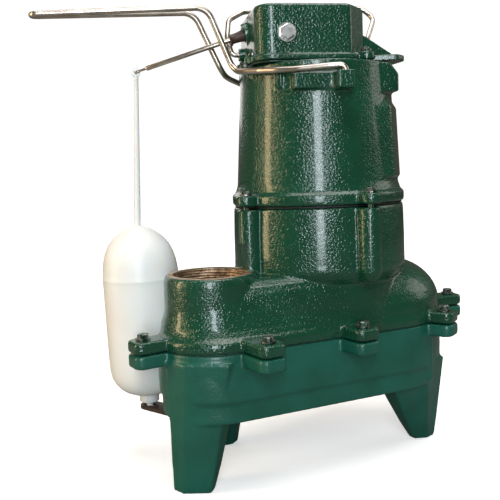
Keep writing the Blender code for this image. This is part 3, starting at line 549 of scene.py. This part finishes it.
def motor_housing():
    """Tapered motor casting with its collar, pads and cord boss."""
    work = bmesh.new()
    turned(work, [
        (72.9, 219.0), (74.2, 219.8), (74.4, 226.6), (73.2, 228.2), (71.4, 229.6),
        (70.6, 232.6), (69.6, 235.6), (66.8, 280), (64.3, 320), (64.1, 326), (64.0, 332.2)])
    for angle in SCREW_ANGLES:
        spot = on_circle(angle, SCREW_RADIUS)
        stack(work, [(219.5, capsule(spot, toward(spot, (0, 0), 14), 8.6)),
                     (227, capsule(spot, toward(spot, (0, 0), 14), 8.8)),
                     (228, capsule(spot, toward(spot, (0, 0), 14), 7.8))])
    for side in (1, -1):
        pad = [(-12, side * 26), (34, side * 26), (34, side * 66), (-12, side * 66)]
        slab(work, pad, 309.5, 321.3, arm)
        slab(work, [(-14, side * 20), (28, side * 20), (28, side * 59), (-14, side * 59)],
             312, 331.6, arm)
        slab(work, [(-10, side * 60), (3, side * 60), (3, side * 79.6), (-10, side * 79.6)],
             308, 321.6, arm)
    slab(work, [(39, 44), (43, 41), (45, 50), (41, 53)], 312, 324, arm)
    for spot in CASE_SCREWS:
        slab(work, capsule(spot, toward(spot, (0, 0), 12), 5.4), 323, 331.9, arm)
    stack(work, [
        (240, rounded([(-20, 20), (-62, 8), (-66, 28), (-51, 53), (-24, 62)], 6)),
        (296, rounded([(-20, 20), (-60.5, 8), (-63.5, 27), (-49.5, 51), (-24, 60)], 6)),
        (303, rounded([(-20, 20), (-57, 9), (-59, 26), (-47, 47), (-24, 56)], 6)),
        (307, rounded([(-20, 20), (-50, 10), (-52, 24), (-42, 42), (-24, 50)], 6))], arm)
    stack(work, [
        (308, rounded([(-20, 6), (-61, 6), (-57, 50), (-20, 50)], 2.5)),
        (322, rounded([(-20, 6), (-61, 6), (-57, 50), (-20, 50)], 2.5)),
        (331, rounded([(-20, 6), (-54, 6), (-50, 50), (-20, 50)], 2.5))], arm)
    bar(work, (-30, -50, 312), (-30, -68, 312), 12.2, arm, 48)
    body = cast("cast_motor_housing", work, 1.05, 4)
    hollow = bmesh.new()
    turned(hollow, [(64, 200), (62, 240), (58, 316), (40, 322)])
    for angle in SCREW_ANGLES:
        spot = on_circle(angle, SCREW_RADIUS)
        turned(hollow, [(SCREW_HOLE, 210), (SCREW_HOLE, 240)], spot, count=20)
    for side in (1, -1):
        turned(hollow, [(2.75, 312.8), (2.75, 330)], (-4, side * 75.2), arm, 24)
    bar(hollow, (-30, -40, 312), (-30, -80, 312), 6.4, arm, 32)
    carve(body, hollow)
    return wear(smooth(body, 50), GLOSS, "pump_body", "painted_gloss", "motor_housing")


# ---- switch case ---------------------------------------------------------

def bail_pin(along):
    """A place on the lifting bail's axis."""
    return (along, BAIL_ACROSS, BAIL_HEIGHT)


def case_outline(g=0.0):
    """Plan of the switch case, grown by g, with its two chamfered corners."""
    corners = [(-19 - g, 45 + g), (-36 - g, 26), (-36 - g, -26), (-19 - g, -45 - g),
               (58 + g, -45 - g), (58 + g, 45 + g)]
    return rounded(corners, [3, 3, 3, 3, 15 + g, 15 + g])


def switch_case():
    """Cast box on top, with a flange, a tab and its gusset."""
    low = CASE_FOOT
    work = bmesh.new()
    stack(work, [(low + 0.2, case_outline(-0.2)), (375.5, case_outline(-0.4)),
                 (377.6, case_outline(-1.2)), (378.4, case_outline(-3))], arm)
    slab(work, case_outline(2.6), low + 0.3, low + 4.6, arm)
    slab(work, rounded([(-28, 26), (-62, 36), (-71, 28), (-68, 8), (-28, -8)], 4),
         low + 0.8, low + 5.8, arm)
    rib = [(-28, 357), (-38, 357), (-67, low + 5), (-28, low + 3)]
    skin(work, [[arm(x, b, z) for x, z in rib] for b in (17.6, 22.4)])
    for span in ((50, 64), (-30, -40)):
        bar(work, bail_pin(span[0]), bail_pin(span[1]), 5.4, arm, 36)
    for spot in CASE_SCREWS:
        slab(work, capsule(spot, toward(spot, (12, 0), 5), 7.0), low + 0.5, low + 6.8, arm)
    way = (Vector(ARM_TIP) - Vector(PIVOT)).normalized()
    seat = Vector(PIVOT)
    bar(work, seat - way * 6, seat + way * 2.2, 9.4, arm, 40)
    body = cast("cast_switch_case", work, 0.85, 4)
    hollow = bmesh.new()
    stack(hollow, [(320, case_outline(-5.5)), (373, case_outline(-5.5))], arm)
    bar(hollow, seat - way * 12, seat + way * 14, 6.8, arm, 40)
    for span in ((57, 66), (-34, -42)):
        bar(hollow, bail_pin(span[0]), bail_pin(span[1]), 2.6, arm, 24)
    bar(hollow, (34, 30, 355.3), (34, 55, 355.3), 3.3, arm, 24)
    for spot in CASE_SCREWS:
        turned(hollow, [(2.4, 325), (2.4, 346)], spot, arm, 20)
    carve(body, hollow)
    return wear(smooth(body, 50), GLOSS, "pump_body", "painted_gloss", "switch_case")


# ---- rods and float ------------------------------------------------------

def guard_rod():
    """Fixed wire guard that reaches out over the float."""
    corners = [(-4, 75.2, 315), (-4, 75.2, 325.5), (8, 71.5, 325.3), (30.4, 63, 324.3),
               (44, 54.5, 325), (56, 42.3, 326.4), (65, 27, 328.3), (71.1, 10, 330.2),
               (91.9, 10, 382.1), (231.5, 5.3, 377.4), (231.5, -5.3, 378.2),
               (100.8, -10, 382.2), (77.6, -10, 330.6), (69, -28, 329.2), (57, -44, 327),
               (42, -56.5, 325.4), (26, -65, 325.2), (8, -71.5, 325.3), (-4, -75.2, 325.5),
               (-4, -75.2, 315)]
    radii = [4.5, 8, 20, 20, 20, 20, 12, 14, 5, 5, 14, 12, 20, 20, 20, 20, 8, 4.5]
    path = bent(corners, radii)
    rod = tube("guard_wire", path, [GUARD_RADIUS] * len(path), arm)
    return wear(rod, STEEL, "pump_body", "stainless", "guard_rod")


def lift_bail():
    """Wire handle, hinged on the switch case."""
    corners = [(58.5, -9, 347), (69.5, -9, 347), (72.8, -13, 362), (69.5, -22, 379),
               (55, -29, 387.5), (-54, -29, 390.5), (-63.5, -24, 381), (-53, -11, 362),
               (-47, -9, 347), (-35, -9, 347)]
    path = bent(corners, [4, 14, 10, 12, 9, 9, 14, 4])
    rod = tube("bail_wire", path, [BAIL_RADIUS] * len(path), arm)
    return wear(rod, STEEL, "lift_bail", "stainless", "lift_bail")


def float_arm():
    """Rod from the switch to the float rod, with a bent and thinner tip."""
    pivot, tip = Vector(PIVOT), Vector(ARM_TIP)
    way = (tip - pivot).normalized()
    thick = tip - way * 9
    path = [Vector((42, 0.4, 361.4)), pivot - way * 5.5, pivot + way * 2, thick - way * 0.6,
            thick]
    path += bent([thick + way * 0.3, tip, tip + Vector((0, -7.5, 0))], [1.6])
    radii = [1.8, 1.9, 2.0, 2.0, 1.3] + [1.0] * 12
    return wear(tube("arm_wire", path, radii, arm), STEEL, "float_arm", "stainless", "float_arm")


def arm_boot():
    """Rubber bushing around the arm at the switch case."""
    pivot = Vector(PIVOT)
    way = (Vector(ARM_TIP) - pivot).normalized()
    spine = [(-3, 3.6), (-1.5, 5.0), (2, 5.2), (4, 4.7), (6.5, 4.35), (9.2, 4.15), (12.4, 4.1),
             (12.9, 4.6), (13.3, 5.35), (14.2, 5.4), (14.5, 5.0), (14.5, 2.3)]
    path = [pivot + way * d for d, r in spine]
    boot = tube("arm_boot", path, [r for d, r in spine], arm)
    return wear(boot, BROWN, "float_arm", "brown_rubber", "arm_bushing")


def float_line(z):
    """The float's leaning middle line at a height."""
    share = (z - FLOAT_LOW[2]) / (FLOAT_TOP[2] - FLOAT_LOW[2])
    return Vector(FLOAT_LOW).lerp(Vector(FLOAT_TOP), share)


def float_ball():
    """Blow-moulded float, with its seam and its short neck."""
    work = bmesh.new()
    profile = [(7.6, 48.6), (8.5, 49.4), (8.7, 55), (9.6, 57), (13, 57.6), (17.5, 58.6),
               (21.5, 60.6), (25.2, 63.6), (28.4, 67.6), (30.8, 72.6), (32.0, 79), (32.4, 88),
               (32.6, 120), (32.75, 156), (32.75, 158.8), (32.9, 159.5), (32.9, 160.5),
               (32.7, 161.2), (32.4, 167), (31.3, 175), (29.4, 182), (26.2, 188.6),
               (21.6, 194.4), (16.2, 198.9), (10.5, 202.2), (6.2, 204.1), (4.4, 204.9),
               (3.3, 205.0)]
    rings = []
    for radius, z in profile:
        middle = float_line(z)
        ring = arc((middle.x, middle.y), radius, 0, 357, 120)
        rings.append([arm(x, y, z) for x, y in ring])
    skin(work, rings)
    ball = smooth(to_object("float_body", work), 60)
    return wear(ball, WHITE, "float", "white_plastic", "float")


def float_rod():
    """Plastic stem with the eye that hangs on the arm."""
    eye = Vector((ARM_TIP[0], FLOAT_TOP[1], ARM_TIP[2]))
    top = Vector(FLOAT_TOP)
    path = [float_line(38.6), float_line(41.5), float_line(49), float_line(198), float_line(206)]
    radii = [1.3, 2.3, 2.9, 2.9, 2.85]
    for i in range(1, 11):
        share = i / 10
        path.append(top.lerp(eye - Vector((0, 0, 3)), share))
        radii.append(2.85 - 0.95 * share)
    work = bmesh.new()
    bar(work, eye + Vector((0, 1.7, 0)), eye - Vector((0, 1.7, 0)), 3.7, arm, 48)
    ring = to_object("rod_eye_ring", work)
    rod = tube("float_stem", path, radii, arm)
    fuse = rod.modifiers.new("fuse", "BOOLEAN")
    fuse.operation = "UNION"
    fuse.object = ring
    freeze(rod)
    bpy.data.objects.remove(ring, do_unlink=True)
    hole = bmesh.new()
    bar(hole, eye + Vector((0, 6, 0)), eye - Vector((0, 6, 0)), 1.4, arm, 24)
    carve(rod, hole)
    return wear(smooth(rod, 40), WHITE, "float", "white_plastic", "float_rod")


# ---- carried-over CAD nodes ----------------------------------------------

def dress_nodes():
    """Gives every carried-over CAD node a procedural material."""
    looks = {
        "base_gasket": SEAM, "motor_gasket": BLACK, "case_gasket": SEAM, "seal_head": BLACK,
        "float_bracket": STRAP, "float_switch": BLACK, "cord_gland": BLACK,
        "switch_plunger": WHITE, "upper_winding": COPPER, "lower_winding": COPPER,
        "stator_core": IRON, "rotor_core": IRON, "impeller": IRON, "seal_seat": CERAMIC,
        "motor_shaft": STEEL, "upper_bearing": STEEL, "lower_bearing": STEEL,
        "seal_spring": STEEL}
    for name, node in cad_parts.items():
        look = looks.get(name, ZINC if name == "case_bolt" else PAINTED)
        for slot in node.material_slots:
            slot.material = look
        if not node.material_slots:
            node.data.materials.append(look)


# ---- setting -------------------------------------------------------------

def stage():
    """Pale floor that glows as painted light, more strongly further out, and looks whiter to the
    camera than the light it throws back.
    """
    work = bmesh.new()
    rings = arc((0, 0), FLOOR_RADIUS, 0, 352.5, 48)
    spots = [work.verts.new((x * MM, y * MM, 0)) for x, y in rings]
    work.faces.new(spots)
    floor = to_object("floor", work)
    look = Look("pale_floor_painted_glow").set(Roughness=0.9)
    look.colour(look.noise(3, 2), [(0.3, (0.86, 0.86, 0.86)), (0.7, (0.90, 0.90, 0.90))])
    # Painted light: the floor glows white by itself, at strength 0.5 near its middle and rising to
    # 1.0 from 1.6 m out, in place of lamp light on the far floor.
    look.set(Emission_Color=(1, 1, 1, 1))
    nodes, links = look.nodes, look.links
    far = nodes.new("ShaderNodeVectorMath")
    far.operation = "LENGTH"
    links.new(look.coords, far.inputs[0])
    painted_floor_glow = nodes.new("ShaderNodeMapRange")
    painted_floor_glow.inputs["From Min"].default_value = 0.35
    painted_floor_glow.inputs["From Max"].default_value = 1.6
    painted_floor_glow.inputs["To Min"].default_value = 0.50
    painted_floor_glow.inputs["To Max"].default_value = 1.0
    links.new(far.outputs["Value"], painted_floor_glow.inputs["Value"])
    links.new(painted_floor_glow.outputs["Result"], look.shader.inputs["Emission Strength"])
    dim = nodes.new("ShaderNodeBsdfDiffuse")
    dim.inputs["Color"].default_value = (0.22, 0.22, 0.21, 1)
    mix, path = nodes.new("ShaderNodeMixShader"), nodes.new("ShaderNodeLightPath")
    links.new(path.outputs["Is Camera Ray"], mix.inputs["Fac"])
    links.new(dim.outputs["BSDF"], mix.inputs[1])
    links.new(look.shader.outputs["BSDF"], mix.inputs[2])
    links.new(mix.outputs["Shader"], nodes["Material Output"].inputs["Surface"])
    floor.data.materials.append(look.material)


def area(name, place, aim, size, power, colour, depth=None):
    """A rectangular lamp that faces a place."""
    data = bpy.data.lights.new(name, "AREA")
    data.shape = "RECTANGLE"
    data.size = size
    data.size_y = depth or size
    data.energy = power
    data.color = colour
    lamp = bpy.data.objects.new(name, data)
    lamp.location = place
    lamp.rotation_euler = (Vector(aim) - Vector(place)).to_track_quat("-Z", "Y").to_euler()
    bpy.context.scene.collection.objects.link(lamp)
    return lamp


def lights():
    """Soft studio lamps, and a world that only the camera sees as white."""
    middle = pump(0, 0, 230)
    area("key_strip", (-0.86, -1.32, 0.62), middle, 0.26, 21, (0.84, 0.94, 1.0), 1.5)
    area("warm_strip", (-1.20, 0.42, 0.42), middle, 0.20, 9, (1.0, 0.74, 0.42), 1.3)
    area("overhead", (0.1, -0.2, 1.9), (0.05, 0, 0), 1.4, 25, (1.0, 0.99, 0.97))
    area("right_fill", (1.5, -0.6, 0.9), middle, 0.9, 4, (1.0, 0.93, 0.86))
    area("back_fill", (0.5, 1.6, 1.0), middle, 1.2, 6, (1.0, 0.97, 0.94))
    world = bpy.data.worlds.new("studio")
    bpy.context.scene.world = world
    world.use_nodes = True
    nodes, links = world.node_tree.nodes, world.node_tree.links
    nodes.clear()
    out = nodes.new("ShaderNodeOutputWorld")
    mix = nodes.new("ShaderNodeMixShader")
    seen, glow = nodes.new("ShaderNodeBackground"), nodes.new("ShaderNodeBackground")
    path = nodes.new("ShaderNodeLightPath")
    seen.inputs["Color"].default_value = (1, 1, 1, 1)
    seen.inputs["Strength"].default_value = 1.05
    glow.inputs["Color"].default_value = (0.52, 0.46, 0.38, 1)
    glow.inputs["Strength"].default_value = 0.19
    links.new(path.outputs["Is Camera Ray"], mix.inputs["Fac"])
    links.new(glow.outputs["Background"], mix.inputs[1])
    links.new(seen.outputs["Background"], mix.inputs[2])
    links.new(mix.outputs["Shader"], out.inputs["Surface"])


def camera():
    data = bpy.data.cameras.new("camera")
    data.lens = 49.5
    data.sensor_width = 36
    cam = bpy.data.objects.new("camera", data)
    heading, pitch, roll = (math.radians(a) for a in (31.82, 6.49, 2.11))
    turn = (Matrix.Rotation(-heading, 4, "Z") @ Matrix.Rotation(math.pi / 2 - pitch, 4, "X")
            @ Matrix.Rotation(-roll, 4, "Z"))
    cam.matrix_world = Matrix.Translation(pump(-371.3, -482.9, 247.5)) @ turn
    bpy.context.scene.collection.objects.link(cam)
    bpy.context.scene.camera = cam


camera()
stage()
lights()
base_casting()
pump_housing()
port_liner()
motor_housing()
switch_case()
guard_rod()
lift_bail()
float_arm()
arm_boot()
float_ball()
float_rod()
dress_nodes()
bpy.context.scene.view_settings.view_transform = "Standard"
